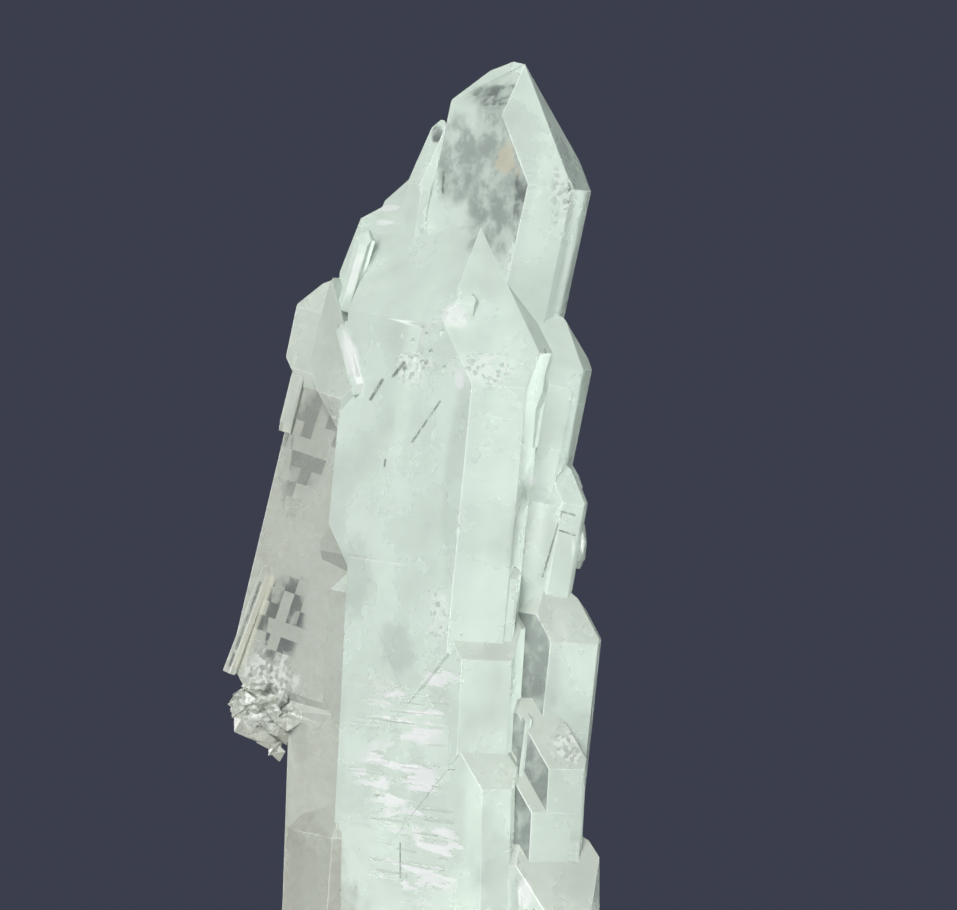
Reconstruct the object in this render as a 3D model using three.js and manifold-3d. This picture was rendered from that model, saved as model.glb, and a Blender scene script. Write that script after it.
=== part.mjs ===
// Faden quartz: many quartz crystals grown side by side into one piece of mineral, broken flat at the foot.
// Millimetres, +Z up, the side seen first faces -Y.
import * as THREE from "three";
import { mergeVertices } from "three/addons/utils/BufferGeometryUtils.js";
import Module from "manifold-3d";

const wasm = await Module();
wasm.setup();

// Driving dimensions
const LONGEST = 150;         // length of an uncut six-sided blank, longer than any crystal
const TIP_SLOPE = 51.8;      // degrees between a tip face's normal and the crystal's long axis
const FRONT_TURN = 12;       // degrees the brightest prism face is turned to the right of straight ahead
const LEAN = 5.4;            // degrees the long axes lean to the right
const NOD = 4;               // degrees the long axes lean to the front
const MIDDLE = [-0.06, 3.66]; // middle of the outline in plan, moved to the origin at the end
const MINERAL = "#cfdfd4";

// The six prism faces in the order they follow one another, counter-clockwise from above
const FACES = ["front", "right", "backRight", "back", "backLeft", "left"];

function radians(degrees) {
  return THREE.MathUtils.degToRad(degrees);
}

// A closed solid from a three.js shape
function solidOf(geometry) {
  const bare = geometry.clone();
  bare.deleteAttribute("normal");
  bare.deleteAttribute("uv");
  const merged = mergeVertices(bare, 1e-5);
  return new wasm.Manifold(new wasm.Mesh({
    numProp: 3,
    vertProperties: new Float32Array(merged.attributes.position.array),
    triVerts: new Uint32Array(merged.index.array),
  }));
}

// The half of a solid that lies behind a plane
function cutBy(solid, plane) {
  const { x, y, z } = plane.normal;
  return solid.trimByPlane([-x, -y, -z], plane.constant);
}

// Widths of the six prism faces: four are chosen, the last two close the hexagon
function faceWidths({ left, front, right, back }) {
  return {
    front,
    right,
    backRight: back,
    back: front + left - back,
    backLeft: right + back - left,
    left,
  };
}

// Seeded random numbers between two limits
let seed = 7;
function between(low, high) {
  seed = (seed * 16807) % 2147483647;
  return low + (high - low) * (seed / 2147483647);
}

// The turn and place of a crystal's own axes
function placeOf({ at, lean = LEAN, nod = NOD, turn = 0 }) {
  const place = new THREE.Matrix4().makeRotationFromEuler(
    new THREE.Euler(radians(nod), radians(lean), radians(turn), "YXZ"),
  );
  return place.setPosition(...at);
}

// One quartz crystal. "at" is the top of the edge between its left and front prism faces, "tops" and "feet" are
// the heights above that point at which the tip faces of the upper and lower end start on each prism face.
function crystal({ sides, tops, feet = {}, foot, ...stance }) {
  const widths = faceWidths(sides);
  const outline = new THREE.Shape();
  const corner = new THREE.Vector2(0, 0);
  const starts = {};
  outline.moveTo(0, 0);
  FACES.forEach((face, step) => {
    const along = radians(FRONT_TURN + 60 * step);
    starts[face] = corner.clone();
    corner.x += widths[face] * Math.cos(along);
    corner.y += widths[face] * Math.sin(along);
    if (face !== "left") {
      outline.lineTo(corner.x, corner.y);
    }
  });

  const place = placeOf(stance);
  const blank = new THREE.ExtrudeGeometry(outline, { depth: LONGEST, bevelEnabled: false });
  blank.translate(0, 0, foot);
  blank.applyMatrix4(place);

  let solid = solidOf(blank);
  FACES.forEach((face, step) => {
    const outward = radians(FRONT_TURN + 60 * step - 90);
    const ends = [
      [tops[face] ?? tops.rest, 1],
      [feet[face], -1],
    ];
    for (const [height, sign] of ends) {
      if (height === undefined) {
        continue;
      }
      const normal = new THREE.Vector3(
        Math.cos(outward) * Math.sin(radians(TIP_SLOPE)),
        Math.sin(outward) * Math.sin(radians(TIP_SLOPE)),
        Math.cos(radians(TIP_SLOPE)) * sign,
      );
      const on = new THREE.Vector3(starts[face].x, starts[face].y, height);
      const plane = new THREE.Plane().setFromNormalAndCoplanarPoint(normal, on).applyMatrix4(place);
      solid = cutBy(solid, plane);
    }
  });
  return solid;
}

// Directions on a crystal's front or left prism face, in the crystal's own axes
function faceAxes(face) {
  const along = radians(FRONT_TURN + 60 * FACES.indexOf(face));
  const outward = new THREE.Vector3(Math.sin(along), -Math.cos(along), 0);
  const up = new THREE.Vector3(0, 0, 1);
  const across = new THREE.Vector3().crossVectors(outward, up);
  return { outward, up, across };
}

// A point on the left face: so far left of the crystal's front left edge, so high above its reference point
function onLeftFace(stance, left, height, proud) {
  const { outward, up, across } = faceAxes("left");
  return new THREE.Vector3()
    .addScaledVector(across, left)
    .addScaledVector(up, height)
    .addScaledVector(outward, proud)
    .applyMatrix4(placeOf(stance));
}

// A small angular splinter, turned at random
function lump(centre, radius) {
  const stone = new THREE.OctahedronGeometry(radius, 0);
  stone.scale(1.25, 0.7, 1);
  stone.rotateX(between(0, Math.PI));
  stone.rotateZ(between(0, Math.PI));
  stone.translate(centre.x, centre.y, centre.z);
  return solidOf(stone);
}

// A low growth ledge on the left face: a tip-face slope on its upper side and a long taper below
function ledge(stance, { left, height, length, proud, taper }) {
  const { outward, up, across } = faceAxes("left");
  const sunk = 0.3;
  const rise = Math.tan(radians(TIP_SLOPE));
  const section = new THREE.Shape();
  section.moveTo(-sunk, sunk * rise);
  section.lineTo(-sunk, -taper);
  section.lineTo(proud, -proud * rise);
  const bar = new THREE.ExtrudeGeometry(section, { depth: length, bevelEnabled: false });
  bar.applyMatrix4(new THREE.Matrix4().makeBasis(outward, up, across));
  bar.translate(across.x * left, across.y * left, height);
  bar.applyMatrix4(placeOf(stance));
  return solidOf(bar);
}

// Main crystal in the middle, and the growth steps that stand in front of its lower half
const mainStance = { at: [6.2, -10, 60.5] };
const lowStance = { at: [7.2, -10.4, 20.5], lean: 1, turn: 4 };
const mainCrystals = [
  crystal({
    ...mainStance,
    sides: { left: 19.6, front: 5.6, right: 11, back: 14.5 },
    tops: { front: 0, right: 3.4, backRight: 11, back: 11.5, backLeft: 12.2, left: 5.4 },
    feet: { front: -26.8, backLeft: -16.3 },
    foot: -40,
  }),
  crystal({
    at: [3.9, -6.1, 68.6],
    sides: { left: 1.2, front: 2.6, right: 1.2, back: 1.2 },
    tops: { front: 0, left: -0.8, right: 0.4, rest: 0.3 },
    foot: -3.2,
  }),
  crystal({
    at: [5.2, -9.15, 33.3],
    lean: 3,
    turn: 1.2,
    sides: { left: 17.5, front: 5.1, right: 10, back: 12 },
    tops: { front: 0, right: 3, left: 8.5, rest: 10 },
    feet: { front: -9.5 },
    foot: -40,
  }),
  crystal({
    ...lowStance,
    sides: { left: 19.5, front: 3, right: 8, back: 14 },
    tops: { front: 0, right: 2, left: 9, rest: 9 },
    foot: -30,
  }),
];

// Crystal that carries the topmost tip, leaning further to the right, with a smaller tip beside it
const topStance = { at: [11.8, -3, 80.5], lean: 12, turn: 4 };
const topCrystals = [
  crystal({
    ...topStance,
    sides: { left: 13, front: 4.6, right: 8, back: 10 },
    tops: { front: 0, right: 0.3, backRight: 3, back: 5, backLeft: 6.5, left: 6.1 },
    foot: -30,
  }),
  crystal({
    at: [1.1, 5.8, 80.4],
    lean: 8,
    sides: { left: 2.3, front: 0.9, right: 6, back: 2.5 },
    tops: { front: 0, left: 0.3, right: 5, rest: 6 },
    foot: -25,
  }),
  crystal({
    at: [1.75, 5.1, 76.3],
    lean: 7,
    sides: { left: 8, front: 4, right: 6, back: 7 },
    tops: { left: 0, front: 0, back: 3, backLeft: 2, rest: 4 },
    foot: -25,
  }),
];

// Plates that show past the left edge of the main crystal
const leftPlates = [
  crystal({
    at: [-5.2, 2.2, 62.3],
    lean: 14,
    sides: { left: 7.5, front: 1, right: 4, back: 7 },
    tops: { left: 7, right: -1.5, rest: 9 },
    feet: { left: -3.6, backLeft: -1.2, front: -2 },
    foot: -9,
  }),
  crystal({
    at: [-5.1, 5.4, 74.8],
    lean: 16,
    sides: { left: 0.8, front: 0.8, right: 2, back: 0.8 },
    tops: { front: 0, rest: 0.6 },
    foot: -7,
  }),
  crystal({
    at: [-6.9, 4.1, 66.2],
    lean: -15,
    nod: -20,
    sides: { left: 1, front: 1, right: 2, back: 1 },
    tops: { front: 0, rest: 0.3 },
    feet: { front: -6.2 },
    foot: -7,
  }),
  crystal({
    at: [-0.6, 2.5, 71],
    sides: { left: 10, front: 4, right: 9, back: 7.5 },
    tops: { left: 0, back: 3.6, rest: 6 },
    foot: -14,
  }),
  crystal({
    at: [-3.85, 1.4, 43.5],
    sides: { left: 8, front: 6, right: 8, back: 6 },
    tops: { left: 0.5, rest: 6 },
    feet: { left: -0.5, rest: -8 },
    foot: -20,
  }),
  crystal({
    at: [-2.5, -0.4, 35],
    sides: { left: 9, front: 6, right: 8, back: 7 },
    tops: { left: 4, rest: 4 },
    feet: { backLeft: -6.5 },
    foot: -20,
  }),
];

// Long crystal on the left, leaning most, with a blunt upper end, and the two blocks under it
const leftCrystals = [
  crystal({
    at: [-5.0, 5.6, 45],
    lean: 13.5,
    turn: 12,
    sides: { left: 12.6, front: 3, right: 6, back: 9.5 },
    tops: { left: 22, rest: 22 },
    feet: { left: -17, backLeft: -15.5 },
    foot: -21,
  }),
  crystal({
    at: [-6.8, 7.2, 64.5],
    lean: 12,
    turn: 12,
    sides: { left: 6.9, front: 4, right: 5, back: 4.5 },
    tops: { left: 2.7, rest: 3 },
    feet: { left: -3.5, backLeft: -2.5 },
    foot: -9,
  }),
  crystal({
    at: [-11.2, 10.6, 61.5],
    lean: 14,
    turn: 12,
    sides: { left: 1.2, front: 0.4, right: 2, back: 0.9 },
    tops: { left: 0, rest: 1 },
    feet: { left: -5, rest: -5 },
    foot: -6,
  }),
  crystal({
    at: [-14.6, 11.7, 41.5],
    lean: 21,
    turn: 12,
    sides: { left: 0.9, front: 0.6, right: 1.2, back: 1 },
    tops: { front: 0, rest: 0.4 },
    foot: -11,
  }),
  crystal({
    at: [-4.2, 4.3, 21],
    lean: 2,
    turn: 15,
    sides: { left: 10, front: 6, right: 6, back: 7 },
    tops: { left: 6, rest: 8 },
    foot: -30,
  }),
  crystal({
    at: [-3.9, 4.1, 15.2],
    lean: 9.5,
    turn: 15,
    sides: { left: 9, front: 6, right: 6, back: 7 },
    tops: { left: 1, rest: 2 },
    foot: -30,
  }),
];

// Column of shorter crystals on the right, each standing in front of the one above
const rightCrystals = [
  crystal({
    at: [13.9, -4.5, 60.5],
    lean: 11.5,
    sides: { left: 6, front: 2.5, right: 4.8, back: 4.5 },
    tops: { front: 0, right: 2, left: 4, rest: 3 },
    foot: -16,
  }),
  crystal({
    at: [12.1, -5.5, 58.1],
    lean: 9,
    sides: { left: 3, front: 0.9, right: 3, back: 3 },
    tops: { front: 0, left: 2, rest: 2 },
    foot: -3.8,
  }),
  crystal({
    at: [12.1, -4.5, 48.9],
    lean: 11.5,
    sides: { left: 6, front: 3, right: 6, back: 6 },
    tops: { front: 0, right: 2, left: 3, rest: 3 },
    foot: -14,
  }),
  crystal({
    at: [15.2, -4.2, 48.7],
    lean: 10,
    turn: 3,
    sides: { left: 5, front: 2.2, right: 1.5, back: 5 },
    tops: { front: 0, right: 0.3, left: 2, rest: 2 },
    foot: -14,
  }),
  crystal({
    at: [9.1, -7.5, 41.3],
    sides: { left: 1.5, front: 1.6, right: 0.8, back: 1.5 },
    tops: { front: 0, rest: 0.8 },
    foot: -10,
  }),
  crystal({
    at: [14, -6.5, 35],
    lean: 6,
    turn: 7,
    sides: { left: 6, front: 5, right: 1.6, back: 6 },
    tops: { front: 0, right: 0.5, left: 2.4, rest: 3 },
    foot: -20,
  }),
  crystal({
    at: [13.8, -9.3, 22.5],
    lean: 3,
    turn: 5,
    sides: { left: 8, front: 3.6, right: 1.2, back: 7 },
    tops: { front: 0, right: 1, left: 5, rest: 4 },
    foot: -30,
  }),
  crystal({
    at: [12.1, -9.5, 18.2],
    lean: 3,
    turn: 5,
    sides: { left: 8, front: 4.6, right: 2.2, back: 7 },
    tops: { front: 0, right: 1, left: 4, rest: 4 },
    foot: -30,
  }),
  crystal({
    at: [13.9, -12.5, 7.8],
    lean: 0,
    turn: 6,
    sides: { left: 8, front: 4.1, right: 5, back: 8 },
    tops: { front: 0, right: 5.6, left: 5, rest: 7 },
    foot: -20,
  }),
  crystal({
    at: [11.5, -7.8, 27],
    lean: 7,
    sides: { left: 0.6, front: 0.35, right: 0.9, back: 0.7 },
    tops: { front: 0, rest: 0.4 },
    foot: -5.4,
  }),
  crystal({
    at: [10.8, -10.2, 11],
    lean: -2,
    sides: { left: 2, front: 1.6, right: 2, back: 2 },
    tops: { front: 0, rest: 0.6 },
    foot: -20,
  }),
];

// Crystals on the back, of the same habit
const backCrystals = [
  crystal({
    at: [-2, 1.6, 38],
    sides: { left: 8, front: 7, right: 8, back: 8 },
    tops: { back: 0, rest: 4 },
    foot: -40,
  }),
  crystal({
    at: [4, 1.6, 24],
    lean: 3,
    turn: 3,
    sides: { left: 8, front: 6, right: 8, back: 8 },
    tops: { back: 0, rest: 3 },
    foot: -40,
  }),
  crystal({
    at: [-8, 3.6, 13],
    lean: 4,
    sides: { left: 7, front: 6, right: 8, back: 6.5 },
    tops: { back: 0, rest: 2 },
    foot: -40,
  }),
  crystal({
    at: [6, 1, 65],
    lean: 8,
    sides: { left: 6, front: 4, right: 7, back: 6 },
    tops: { back: 0, rest: 3 },
    foot: -30,
  }),
];

// Rounded side of a crystal that shows past the right edge
const rightLobe = new THREE.SphereGeometry(1, 10, 8);
rightLobe.scale(1, 2.2, 2.8);
rightLobe.translate(16.7, -0.4, 44.8);

// Crackled, broken lower end of the long left crystal: angular splinters from the break up into its face
const BREAK_FROM = new THREE.Vector3(-18, 12.2, 27.8);
const BREAK_TO = new THREE.Vector3(-13.6, 9.8, 23.4);
const BREAK_DEPTH = new THREE.Vector3(2.6, -1.4, 4.6);
const brokenEnd = [];
for (let count = 0; count < 100; count += 1) {
  const centre = new THREE.Vector3().lerpVectors(BREAK_FROM, BREAK_TO, between(0, 1));
  centre.addScaledVector(BREAK_DEPTH, between(0, 1) * between(0, 1));
  centre.y += between(-0.5, 2);
  brokenEnd.push(lump(centre, between(0.6, 1.25)));
}
const brokenCore = new THREE.IcosahedronGeometry(2.9, 0);
brokenCore.translate(-15.6, 13.2, 26.8);

// Rows of growth ledges low on the left face
const LEDGE_ROWS = [8, 6.8, 5.6, 4.6, 1.6, 0.4, -2.4, -3.6, -4.6, -5.8, -7.2, -8.4, -10];
const ledges = LEDGE_ROWS.flatMap((height) => [0, 1, 2].map((third) => ledge(lowStance, {
  left: 3.6 + third * 4.2 + between(0, 2.4),
  height: height + third * 0.3 + between(-0.5, 0.5),
  length: between(1.2, 5.5),
  proud: between(0.06, 0.18),
  taper: between(0.4, 1.6),
})));

// Pits in the band where the main crystal's tip faces start, and chips along the edge below the topmost tip
const pits = [];
for (let count = 0; count < 16; count += 1) {
  pits.push(lump(onLeftFace(mainStance, between(0.4, 12), between(0.2, 4.8), 0.1), between(0.3, 0.6)));
}
for (let count = 0; count < 8; count += 1) {
  const { outward, up, across } = faceAxes("front");
  const height = between(-3.6, 1.6);
  const centre = new THREE.Vector3()
    .addScaledVector(across, -4.7)
    .addScaledVector(up, height)
    .addScaledVector(outward, 0.3 - Math.max(height, 0) / Math.tan(radians(TIP_SLOPE)))
    .applyMatrix4(placeOf(topStance));
  pits.push(lump(centre, between(0.5, 0.85)));
}

// All crystals joined, the pits taken out, broken off flat at the foot
const grown = [
  ...mainCrystals,
  ...topCrystals,
  ...leftPlates,
  ...leftCrystals,
  ...rightCrystals,
  ...backCrystals,
  solidOf(rightLobe),
  solidOf(brokenCore),
  ...brokenEnd,
  ...ledges,
];
let quartz = grown.reduce((whole, one) => whole.add(one));
quartz = pits.reduce((whole, one) => whole.subtract(one), quartz);
quartz = cutBy(quartz, new THREE.Plane(new THREE.Vector3(0, 0, -1), 0));

// Only the outer skin is kept, so a pocket closed in among the splinters is solid mineral
const skins = quartz.decompose().sort((one, other) => other.volume() - one.volume());

function meshOf(solid) {
  const raw = solid.getMesh();
  const geometry = new THREE.BufferGeometry();
  geometry.setAttribute("position", new THREE.BufferAttribute(Float32Array.from(raw.vertProperties), raw.numProp));
  geometry.setIndex(new THREE.BufferAttribute(Uint32Array.from(raw.triVerts), 1));
  geometry.translate(-MIDDLE[0], -MIDDLE[1], 0);
  return geometry;
}

const group = new THREE.Group();
const cluster = new THREE.Mesh(
  meshOf(skins[0]),
  new THREE.MeshStandardMaterial({ color: MINERAL, roughness: 0.1, metalness: 0 }),
);
cluster.name = "quartz_cluster";
group.add(cluster);
export default group;
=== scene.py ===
import math

import bmesh
import bpy
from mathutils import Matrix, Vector


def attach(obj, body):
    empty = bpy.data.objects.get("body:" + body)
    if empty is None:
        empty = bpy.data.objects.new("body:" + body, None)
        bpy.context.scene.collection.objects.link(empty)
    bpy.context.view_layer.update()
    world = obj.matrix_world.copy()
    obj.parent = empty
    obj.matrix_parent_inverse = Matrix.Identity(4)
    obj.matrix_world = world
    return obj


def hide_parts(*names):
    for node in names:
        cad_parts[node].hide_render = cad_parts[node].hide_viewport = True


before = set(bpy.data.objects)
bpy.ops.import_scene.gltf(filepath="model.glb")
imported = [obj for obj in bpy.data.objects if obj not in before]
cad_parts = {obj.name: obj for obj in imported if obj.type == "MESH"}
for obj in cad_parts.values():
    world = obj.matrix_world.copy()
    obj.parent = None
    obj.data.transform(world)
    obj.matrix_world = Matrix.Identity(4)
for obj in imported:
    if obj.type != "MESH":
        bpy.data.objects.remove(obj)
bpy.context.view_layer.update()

# The quartz: one piece of mineral, many clear to milky crystals grown side by side
# and broken off at the foot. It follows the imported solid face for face, and the long
# edges are worn by a hair, as on any handled specimen.
MM = 0.001
SAME_POINT = 0.003 * MM
SAME_PLANE = math.radians(0.6)
SHARP = math.radians(18)
LONG_EDGE = 0.8 * MM
WIDE_FACE = 1.0 * MM * MM
EDGE_WEAR = 0.05 * MM

cluster = bmesh.new()
cluster.from_mesh(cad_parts["quartz_cluster"].data)
bmesh.ops.remove_doubles(cluster, verts=cluster.verts, dist=SAME_POINT)
bmesh.ops.dissolve_limit(
    cluster, angle_limit=SAME_PLANE, verts=cluster.verts, edges=cluster.edges,
    use_dissolve_boundaries=False,
)

# Some faces look different: a few on the right side are clear, low sloping roofs get painted
# shade, the left crystals are beige with painted shade, worn edges get a painted highlight, and
# dark windows show only on faces that look left. A value on each face says which.
clear = cluster.faces.layers.float.new("clear")
roof = cluster.faces.layers.float.new("roof")
worn_edge_highlight = cluster.faces.layers.float.new("worn_edge_highlight")
left_side = cluster.faces.layers.float.new("left_side")
looks_left = cluster.faces.layers.float.new("looks_left")
CLEAR_LOOK = Vector((-0.68, -0.73, 0.0))
CLEAR_TURN = math.radians(22)
CLEAR_RIGHT_OF = 9.5
CLEAR_BOTTOM = 10
CLEAR_TOP = 42
ROOF_BELOW = 48
ROOF_RISE = 0.4
BEIGE_LEFT_OF = -6.8
PALE_BEIGE_ABOVE = 58
PALE_BEIGE = 0.5
LEFT_LOOK = -0.35
for face in cluster.faces:
    middle = face.calc_center_median() / MM
    on_right_side = middle.x > CLEAR_RIGHT_OF and CLEAR_BOTTOM < middle.z < CLEAR_TOP and middle.y < 0
    face[clear] = float(on_right_side and face.normal.angle(CLEAR_LOOK) < CLEAR_TURN)
    face[roof] = float(middle.z < ROOF_BELOW and face.normal.z > ROOF_RISE)
    if middle.x < BEIGE_LEFT_OF:
        face[left_side] = PALE_BEIGE if middle.z > PALE_BEIGE_ABOVE else 1.0
    face[looks_left] = float(face.normal.x < LEFT_LOOK and face.normal.y < 0)


def is_worn(edge):
    wide = min(face.calc_area() for face in edge.link_faces) > WIDE_FACE
    return wide and edge.calc_length() > LONG_EDGE and edge.calc_face_angle_signed(0) > SHARP


worn_edges = bmesh.ops.bevel(
    cluster, geom=[edge for edge in cluster.edges if is_worn(edge)], offset=EDGE_WEAR, offset_type="OFFSET",
    affect="EDGES", segments=1, profile=0.5, material=-1, clamp_overlap=False,
)
# The bevel faces carry the painted edge highlight in the material.
for face in worn_edges["faces"]:
    face[worn_edge_highlight] = 1.0

quartz_mesh = bpy.data.meshes.new("quartz")
cluster.to_mesh(quartz_mesh)
cluster.free()
quartz = bpy.data.objects.new("quartz", quartz_mesh)
bpy.context.scene.collection.objects.link(quartz)


# Quartz as a material: one glassy mineral, milky white where tiny bubbles fill it and dark
# where it is clear. It is see-through, with a faint green tint in its depth, and its patterns
# are in millimetres on the piece.
def add(tree, kind, values=None, **settings):
    node = tree.nodes.new("ShaderNode" + kind)
    for name, value in settings.items():
        setattr(node, name, value)
    for name, value in (values or {}).items():
        node.inputs[name].default_value = value
    return node


mineral = bpy.data.materials.new("milky_quartz")
mineral.use_nodes = True
tree = mineral.node_tree
tree.nodes.clear()
output = add(tree, "OutputMaterial")
glass = add(tree, "BsdfPrincipled", {"IOR": 1.544, "Transmission Weight": 0.6, "Specular IOR Level": 0.5})
depth = add(tree, "VolumeAbsorption", {"Color": (0.70, 0.80, 0.75, 1), "Density": 20})
tree.links.new(glass.outputs["BSDF"], output.inputs["Surface"])
tree.links.new(depth.outputs["Volume"], output.inputs["Volume"])

object_place = add(tree, "TexCoord")
in_millimetres = add(tree, "VectorMath", operation="SCALE")
in_millimetres.inputs["Scale"].default_value = 1 / MM
tree.links.new(object_place.outputs["Object"], in_millimetres.inputs[0])
place = in_millimetres.outputs[0]
MIX_A, MIX_B, MIX_RESULT = 6, 7, 2


def calculate(operation, first, second):
    node = add(tree, "Math", operation=operation)
    for socket, value in zip(node.inputs, (first, second)):
        if isinstance(value, (int, float)):
            socket.default_value = value
        else:
            tree.links.new(value, socket)
    return node.outputs[0]


def times(*factors):
    total = factors[0]
    for factor in factors[1:]:
        total = calculate("MULTIPLY", total, factor)
    return total


def plus(first, second):
    return calculate("ADD", first, second)


def larger(first, second):
    return calculate("MAXIMUM", first, second)


def smooth_step(value, low, high):
    node = add(tree, "MapRange", {"From Min": low, "From Max": high}, interpolation_type="SMOOTHSTEP")
    tree.links.new(value, node.inputs["Value"])
    return node.outputs["Result"]


def cloud(scale, detail, vector=None):
    node = add(tree, "TexNoise", {"Scale": scale, "Detail": detail, "Roughness": 0.6})
    tree.links.new(vector or place, node.inputs["Vector"])
    return node.outputs[0]


def tint(under, mask, colour):
    node = add(tree, "Mix", data_type="RGBA")
    tree.links.new(mask, node.inputs["Factor"])
    tree.links.new(under, node.inputs[MIX_A])
    node.inputs[MIX_B].default_value = (*colour, 1)
    return node.outputs[MIX_RESULT]


def face_value(name):
    return add(tree, "Attribute", attribute_type="GEOMETRY", attribute_name=name).outputs["Fac"]


def move(operation, first, second):
    node = add(tree, "VectorMath", operation=operation)
    for socket, value in zip(node.inputs, (first, second)):
        if isinstance(value, tuple):
            socket.default_value = value
        else:
            tree.links.new(value, socket)
    return node


# Spots: soft places inside the crystals and on their faces, each with a centre and half sizes
# in millimetres and a tilt in degrees to the right. Their edges wander, as a cloud's edge does.
wander = plus(cloud(0.55, 2.0), -0.5)
turned_places = {0: place}


def turned_place(tilt):
    if tilt not in turned_places:
        node = add(tree, "VectorRotate", {"Angle": -math.radians(tilt)}, rotation_type="Y_AXIS")
        tree.links.new(place, node.inputs["Vector"])
        turned_places[tilt] = node.outputs["Vector"]
    return turned_places[tilt]


def slanted(tilt, stretch):
    return move("MULTIPLY", turned_place(tilt), stretch).outputs[0]


def spot_reach(centre, half_size, tilt):
    x, y, z = centre
    cosine, sine = math.cos(math.radians(tilt)), math.sin(math.radians(tilt))
    away = move("SUBTRACT", turned_place(tilt), (x * cosine - z * sine, y, x * sine + z * cosine))
    shrunk = move("DIVIDE", away.outputs[0], half_size)
    length = add(tree, "VectorMath", operation="LENGTH")
    tree.links.new(shrunk.outputs[0], length.inputs[0])
    return length.outputs["Value"]


def spots(table, ragged):
    reaches = [spot_reach(*spot) for spot in table.values()]
    nearest = reaches[0]
    for reach in reaches[1:]:
        nearest = calculate("MINIMUM", nearest, reach)
    return smooth_step(plus(nearest, times(wander, ragged)), 1.2, 0.7)


# Scratches: thin marks, each from one point to another, with half its width.
# They reach further back than across.
BACK_SHARE = 0.2
flat_place = move("MULTIPLY", place, (1.0, BACK_SHARE, 1.0)).outputs[0]


def scratches(table):
    nearest = None
    for start, end, half_width in table.values():
        first = Vector((start[0], start[1] * BACK_SHARE, start[2]))
        along = Vector((end[0], end[1] * BACK_SHARE, end[2])) - first
        away = move("SUBTRACT", flat_place, tuple(first)).outputs[0]
        share = move("DOT_PRODUCT", away, tuple(along / along.length_squared)).outputs["Value"]
        share = calculate("MINIMUM", larger(share, 0.0), 1.0)
        foot = add(tree, "VectorMath", {0: tuple(along)}, operation="SCALE")
        tree.links.new(share, foot.inputs["Scale"])
        gap = add(tree, "VectorMath", operation="LENGTH")
        tree.links.new(move("SUBTRACT", away, foot.outputs[0]).outputs[0], gap.inputs[0])
        widths = times(gap.outputs["Value"], 1 / half_width)
        nearest = calculate("MINIMUM", nearest, widths) if nearest else widths
    return smooth_step(nearest, 1.3, 0.5)


# Milk: soft clouds of bubbles, mint white where thick and grey where thin. The same grey is painted shade
# on the left-looking face beside the front edge.
clouds = cloud(0.13, 3.0)
fine = cloud(1.3, 2.0)
milk = add(tree, "ValToRGB")
milk.color_ramp.elements[0].position = 0.30
milk.color_ramp.elements[0].color = (0.67, 0.745, 0.675, 1)
milk.color_ramp.elements[1].position = 0.62
milk.color_ramp.elements[1].color = (0.795, 0.895, 0.81, 1)
tree.links.new(clouds, milk.inputs["Fac"])
colour = milk.outputs["Color"]
GREY_MILK_AND_SHADE = (0.46, 0.51, 0.47)
ROOF_SHADE = (0.55, 0.56, 0.50)
THIN_MILK = {
    "main, low left": ((-5.5, -1.5, 41.3), (2.0, 4, 4.2), 0),
    "main, low middle": ((-1.4, -6.1, 34.4), (1.9, 4, 2.8), -18),
    "main, right strip": ((10.8, -10.0, 45.5), (1.0, 4, 5.0), 5),
    "right foot": ((16.5, -9.0, 17.0), (6.0, 9, 11.0), 0),
    "right middle": ((12.8, -7.6, 45.0), (1.8, 4, 5.0), 5),
    "lowest step": ((9.2, -12.8, 10.0), (2.2, 4, 6.5), 0),
}
# Painted shade: the face looking left beside the front edge is painted grey, darker than the front face.
SHADE_BY_FRONT_EDGE = {"main": ((5.0, -12.0, 51.0), (1.6, 5, 11.0), 5)}
on_left_looking_face = face_value("looks_left")
thin_milk_and_shade = larger(spots(THIN_MILK, 1.2), times(spots(SHADE_BY_FRONT_EDGE, 0.5), on_left_looking_face))
colour = tint(colour, times(thin_milk_and_shade, 0.36), GREY_MILK_AND_SHADE)
# Painted shade: low roofs that face up are painted a darker grey.
colour = tint(colour, times(face_value("roof"), 0.45), ROOF_SHADE)

# Left crystals: beige-grey, partly their own tint and partly painted shade, for they sit behind the main
# crystal.
BEIGE_AND_SHADE = (0.52, 0.53, 0.465)
FOOT_SHADE_COLOUR = (0.33, 0.32, 0.27)
beige = times(face_value("left_side"), plus(times(fine, 0.6), 0.55))
colour = tint(colour, beige, BEIGE_AND_SHADE)
# Painted shade: the left foot, low and behind the main crystal, is painted darker.
FOOT_SHADE = {"left foot": ((-9.5, 3.0, 8.0), (5.0, 7, 8.0), 0)}
colour = tint(colour, times(spots(FOOT_SHADE, 1.2), 0.45), FOOT_SHADE_COLOUR)

# Clear windows: places without milk, where the dark inside of the crystal shows through patches of haze.
# In the left crystal the clear patches are blocks, cut by the layers it grew in.
DARK_INSIDE = (0.09, 0.10, 0.105)
TOP_DARK = {
    "under the tip": ((9.0, -1.7, 89.6), (3.2, 8, 1.3), 0),
    "right side": ((11.2, -5.5, 79.0), (1.0, 8, 5.0), 5),
    "small left tip": ((2.7, 6.8, 86.2), (0.6, 3, 1.0), 0),
}
TOP_DIM = {
    "whole face": ((9.0, -3.4, 82.4), (3.3, 8, 10.5), 5),
    "left part": ((5.0, 0.7, 83.2), (2.4, 6, 4.5), 5),
}
LEFT_UPPER = {"upper": ((-10.2, 6.8, 54.6), (2.7, 6, 6.6), 18)}
LEFT_LOW = {"low": ((-13.4, 7.5, 36.4), (2.8, 6, 5.0), 18)}
haze = smooth_step(cloud(0.42, 3.0), 0.34, 0.60)
block_corner = move("FLOOR", slanted(18, (0.9, 0.25, 0.65)), (0, 0, 0)).outputs[0]
block = add(tree, "TexWhiteNoise", noise_dimensions="3D")
tree.links.new(block_corner, block.inputs["Vector"])
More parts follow.
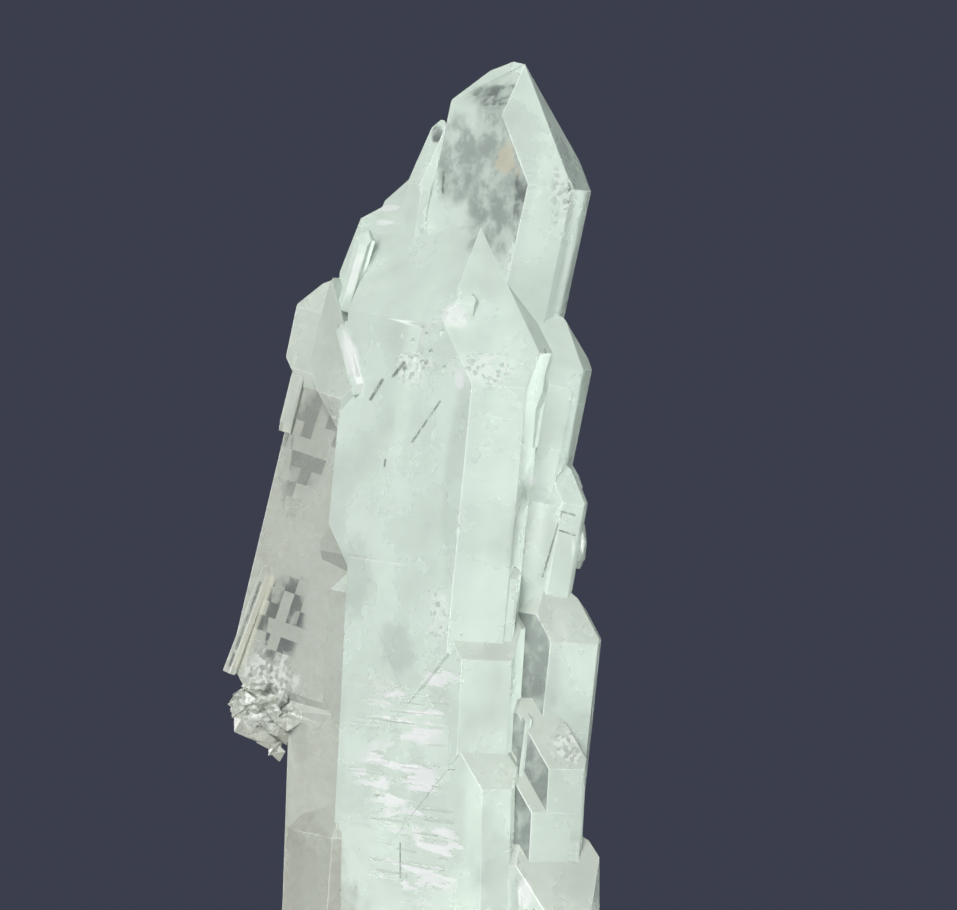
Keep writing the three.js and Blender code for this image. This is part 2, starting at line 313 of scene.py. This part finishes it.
blocks = smooth_step(plus(block.outputs["Value"], times(wander, 0.8)), 0.35, 0.65)
top_dark = larger(times(spots(TOP_DARK, 0.6), 0.85), times(spots(TOP_DIM, 0.6), 0.58))
top_dark = times(top_dark, plus(times(haze, 0.7), 0.3))
left_dark = larger(times(spots(LEFT_UPPER, 0.8), 0.55), times(spots(LEFT_LOW, 0.8), 0.9))
left_dark = times(left_dark, plus(times(blocks, 0.75), 0.15))
windows = times(larger(top_dark, left_dark), on_left_looking_face)
windows = larger(windows, times(face_value("clear"), plus(times(haze, 0.35), 0.28)))
colour = tint(colour, windows, DARK_INSIDE)

# Growth frost: pinkish white layers that run a little downhill to the right, low on the left face.
FROST_WHITE = (0.96, 0.95, 0.965)
FROST = {
    "upper layers": ((0.4, -7.0, 27.6), (5.0, 6, 3.2), 5),
    "upper flake": ((3.4, -10.5, 31.0), (1.9, 4, 1.8), 5),
    "middle layers": ((-1.0, -6.0, 21.5), (6.0, 6, 3.2), 5),
    "lower layers": ((0.8, -7.5, 14.0), (6.6, 6, 5.0), 5),
}
layers = smooth_step(cloud(1.0, 3.0, slanted(8, (0.16, 0.16, 0.87))), 0.51, 0.57)
frost = times(layers, spots(FROST, 0.8))
colour = tint(colour, times(frost, 0.9), FROST_WHITE)

# Chips: chalky white crumbs and dark specks where a face is bruised.
CHALK = (0.90, 0.94, 0.89)
SPECK = (0.26, 0.29, 0.27)
BRUISES = {
    "top, right of the front": ((15.3, -5.5, 79.2), (1.3, 4, 3.6), 0),
    "middle band, left": ((0.6, -7.0, 62.2), (2.0, 4, 1.6), 0),
    "middle band, right": ((7.6, -11.0, 61.8), (3.2, 4, 1.6), 0),
    "right, low": ((15.6, -10.9, 24.7), (1.5, 4, 1.9), 0),
    "front, low left": ((2.9, -10.8, 37.6), (1.0, 4, 2.4), 0),
    "left, broken end": ((-14.5, 7.2, 29.5), (3.6, 5, 4.2), 0),
}
crumb = add(tree, "TexVoronoi", {"Scale": 2.4, "Randomness": 1.0}, feature="F1")
tree.links.new(place, crumb.inputs["Vector"])
bruise = times(spots(BRUISES, 1.4), 0.7)
colour = tint(colour, times(bruise, smooth_step(crumb.outputs["Color"], 0.50, 0.62)), CHALK)
colour = tint(colour, times(bruise, smooth_step(crumb.outputs["Color"], 0.36, 0.28), 0.6), SPECK)

# Iron stain: a cream patch inside the top window, and a pale yellow strip down the left crystal.
CREAM = (0.66, 0.60, 0.46)
PALE_YELLOW = (0.76, 0.76, 0.62)
STAIN = {"stain": ((9.8, -4.4, 82.9), (1.1, 4, 1.8), -18)}
PALE_STRIP = {"strip": ((-14.3, 7.9, 40.9), (-17.5, 8.4, 32.2), 0.55)}
colour = tint(colour, times(spots(STAIN, 2.4), 0.8), CREAM)
colour = tint(colour, times(scratches(PALE_STRIP), 0.7), PALE_YELLOW)

# Dirt sits in scratches, slots and etched dashes.
DIRT = (0.16, 0.18, 0.165)
SCRATCHES = {
    "long scratch": ((3.1, -10.2, 58.8), (0.3, -7.3, 54.8), 0.11),
    "dash 1": ((-2.7, -3.6, 61.0), (-3.9, -2.5, 59.1), 0.18),
    "dash 2": ((-0.5, -6.1, 62.7), (-1.6, -4.9, 61.4), 0.18),
    "dash 3": ((-2.4, -4.3, 53.0), (-2.5, -4.3, 52.4), 0.12),
    "dash 4": ((3.4, 1.6, 82.0), (3.3, 1.4, 79.9), 0.14),
    "black dot": ((13.5, -7.8, 63.9), (13.5, -7.8, 63.7), 0.16),
    "right slot 1": ((15.1, -7.8, 47.9), (16.5, -7.4, 47.5), 0.10),
    "right slot 2": ((15.0, -7.6, 46.0), (16.5, -7.2, 45.5), 0.10),
    "right slot 3": ((15.2, -7.8, 47.9), (13.3, -7.1, 41.4), 0.10),
    "crack": ((-0.9, -5.9, 14.8), (-0.9, -5.8, 11.4), 0.08),
    "left edge of the strip": ((-15.3, 8.2, 40.5), (-18.4, 8.8, 32.1), 0.15),
}
marks = times(scratches(SCRATCHES), smooth_step(fine, 0.28, 0.52))
colour = tint(colour, times(marks, 0.8), DIRT)

# Painted highlights: worn edges are painted pale, and small facets and chips are painted white where they
# would flash.
EDGE_HIGHLIGHT_WHITE = (0.97, 0.99, 0.97)
GLINT_WHITE = (0.97, 0.98, 0.975)
GLINTS = {
    "lath on the left": ((-5.8, -0.7, 63.0), (0.8, 2, 3.2), -18),
    "upper strip": ((-5.6, 2.0, 71.7), (0.4, 2, 2.8), 18),
    "facet on the front tip": ((4.4, -9.7, 67.2), (1.5, 1.5, 1.2), 18),
    "upper flash": ((-2.1, 7.4, 78.6), (1.3, 2, 0.3), 0),
    "lower flash": ((-2.7, 6.4, 77.1), (1.4, 2, 0.3), 0),
    "sparkle": ((5.0, -12.5, 60.9), (0.5, 1.5, 0.9), 0),
    "right flake": ((12.2, -7.5, 51.0), (0.5, 1.5, 0.5), 0),
    "foot lobe": ((11.5, -14.1, 10.2), (0.8, 2, 1.4), 0),
    "drop": ((0.8, -7.6, 15.5), (0.5, 2, 1.1), -18),
}
# Painted highlight along the bevelled edges, patchy with the clouds.
painted_edge_highlight = times(face_value("worn_edge_highlight"), smooth_step(clouds, 0.35, 0.6))
colour = tint(colour, times(painted_edge_highlight, 0.5), EDGE_HIGHLIGHT_WHITE)
# Painted highlight: the glint spots are painted white on the faces.
colour = tint(colour, times(spots(GLINTS, 1.2), 0.75), GLINT_WHITE)
tree.links.new(colour, glass.inputs["Base Color"])

# Skin: glassy on clear faces, duller where frosted or bruised, with faint level growth lines.
rough = plus(times(clouds, 0.25), 0.14)
rough = plus(rough, times(windows, -0.18))
rough = plus(rough, times(larger(frost, bruise), 0.2))
tree.links.new(larger(rough, 0.05), glass.inputs["Roughness"])
growth_lines = cloud(1.0, 1.0, slanted(0, (0.125, 0.125, 2.4)))
skin = add(tree, "Bump", {"Strength": 0.35, "Distance": 0.03 * MM})
tree.links.new(growth_lines, skin.inputs["Height"])
tree.links.new(skin.outputs["Normal"], glass.inputs["Normal"])

quartz_mesh.materials.clear()
quartz_mesh.materials.append(mineral)
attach(quartz, "root")
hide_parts("quartz_cluster")

# Floor: a plain pale disc under the specimen, matt as paper.
# It stands below the main view, and shows only from above or from other sides.
FLOOR_RADIUS = 0.11
PAPER_WHITE = (0.72, 0.72, 0.70, 1)
floor_shape = bmesh.new()
bmesh.ops.create_circle(floor_shape, cap_ends=True, segments=96, radius=FLOOR_RADIUS)
floor_mesh = bpy.data.meshes.new("floor")
floor_shape.to_mesh(floor_mesh)
floor_shape.free()
floor = bpy.data.objects.new("floor", floor_mesh)
bpy.context.scene.collection.objects.link(floor)
paper = bpy.data.materials.new("pale_paper")
paper.use_nodes = True
paper.node_tree.nodes["Principled BSDF"].inputs["Base Color"].default_value = PAPER_WHITE
paper.node_tree.nodes["Principled BSDF"].inputs["Roughness"].default_value = 0.8
floor_mesh.materials.append(paper)

# Studio light: a large soft box by the camera, and weak ones behind the sides and overhead.
# The room behind is a dark blue-grey.
bpy.context.scene.view_settings.view_transform = "Standard"
ROOM_BLUE = (0.044, 0.048, 0.072, 1)
room = bpy.data.worlds.new("room")
room.use_nodes = True
room.node_tree.nodes["Background"].inputs["Color"].default_value = ROOM_BLUE
bpy.context.scene.world = room


def soft_box(name, stand, aim, size, watts):
    lamp = bpy.data.lights.new(name, "AREA")
    lamp.shape = "DISK"
    lamp.size = size
    lamp.energy = watts
    box = bpy.data.objects.new(name, lamp)
    box.location = stand
    box.rotation_euler = (Vector(aim) - Vector(stand)).to_track_quat("-Z", "Y").to_euler()
    bpy.context.scene.collection.objects.link(box)


MIDDLE = (0, 0, 0.05)
soft_box("key", (-0.216, -0.866, 0.375), MIDDLE, 0.55, 19)
soft_box("right", (0.74, 0.39, 0.15), MIDDLE, 0.5, 2.8)
soft_box("left", (-0.60, 0.60, 0.10), MIDDLE, 0.5, 2)
soft_box("top", (0.0, 0.1, 0.9), MIDDLE, 0.5, 1.5)

# Camera: level with the middle of the crystals, on their front side.
# It stands far off with a long lens, which flattens them as the photograph does.
camera = bpy.data.cameras.new("camera")
camera.sensor_width = 36
camera.lens = 263.3
viewer = bpy.data.objects.new("camera", camera)
viewer.location = (0.00691, -0.70366, 0.0535)
viewer.rotation_euler = (math.radians(90), 0, 0)
bpy.context.scene.collection.objects.link(viewer)
bpy.context.scene.camera = viewer
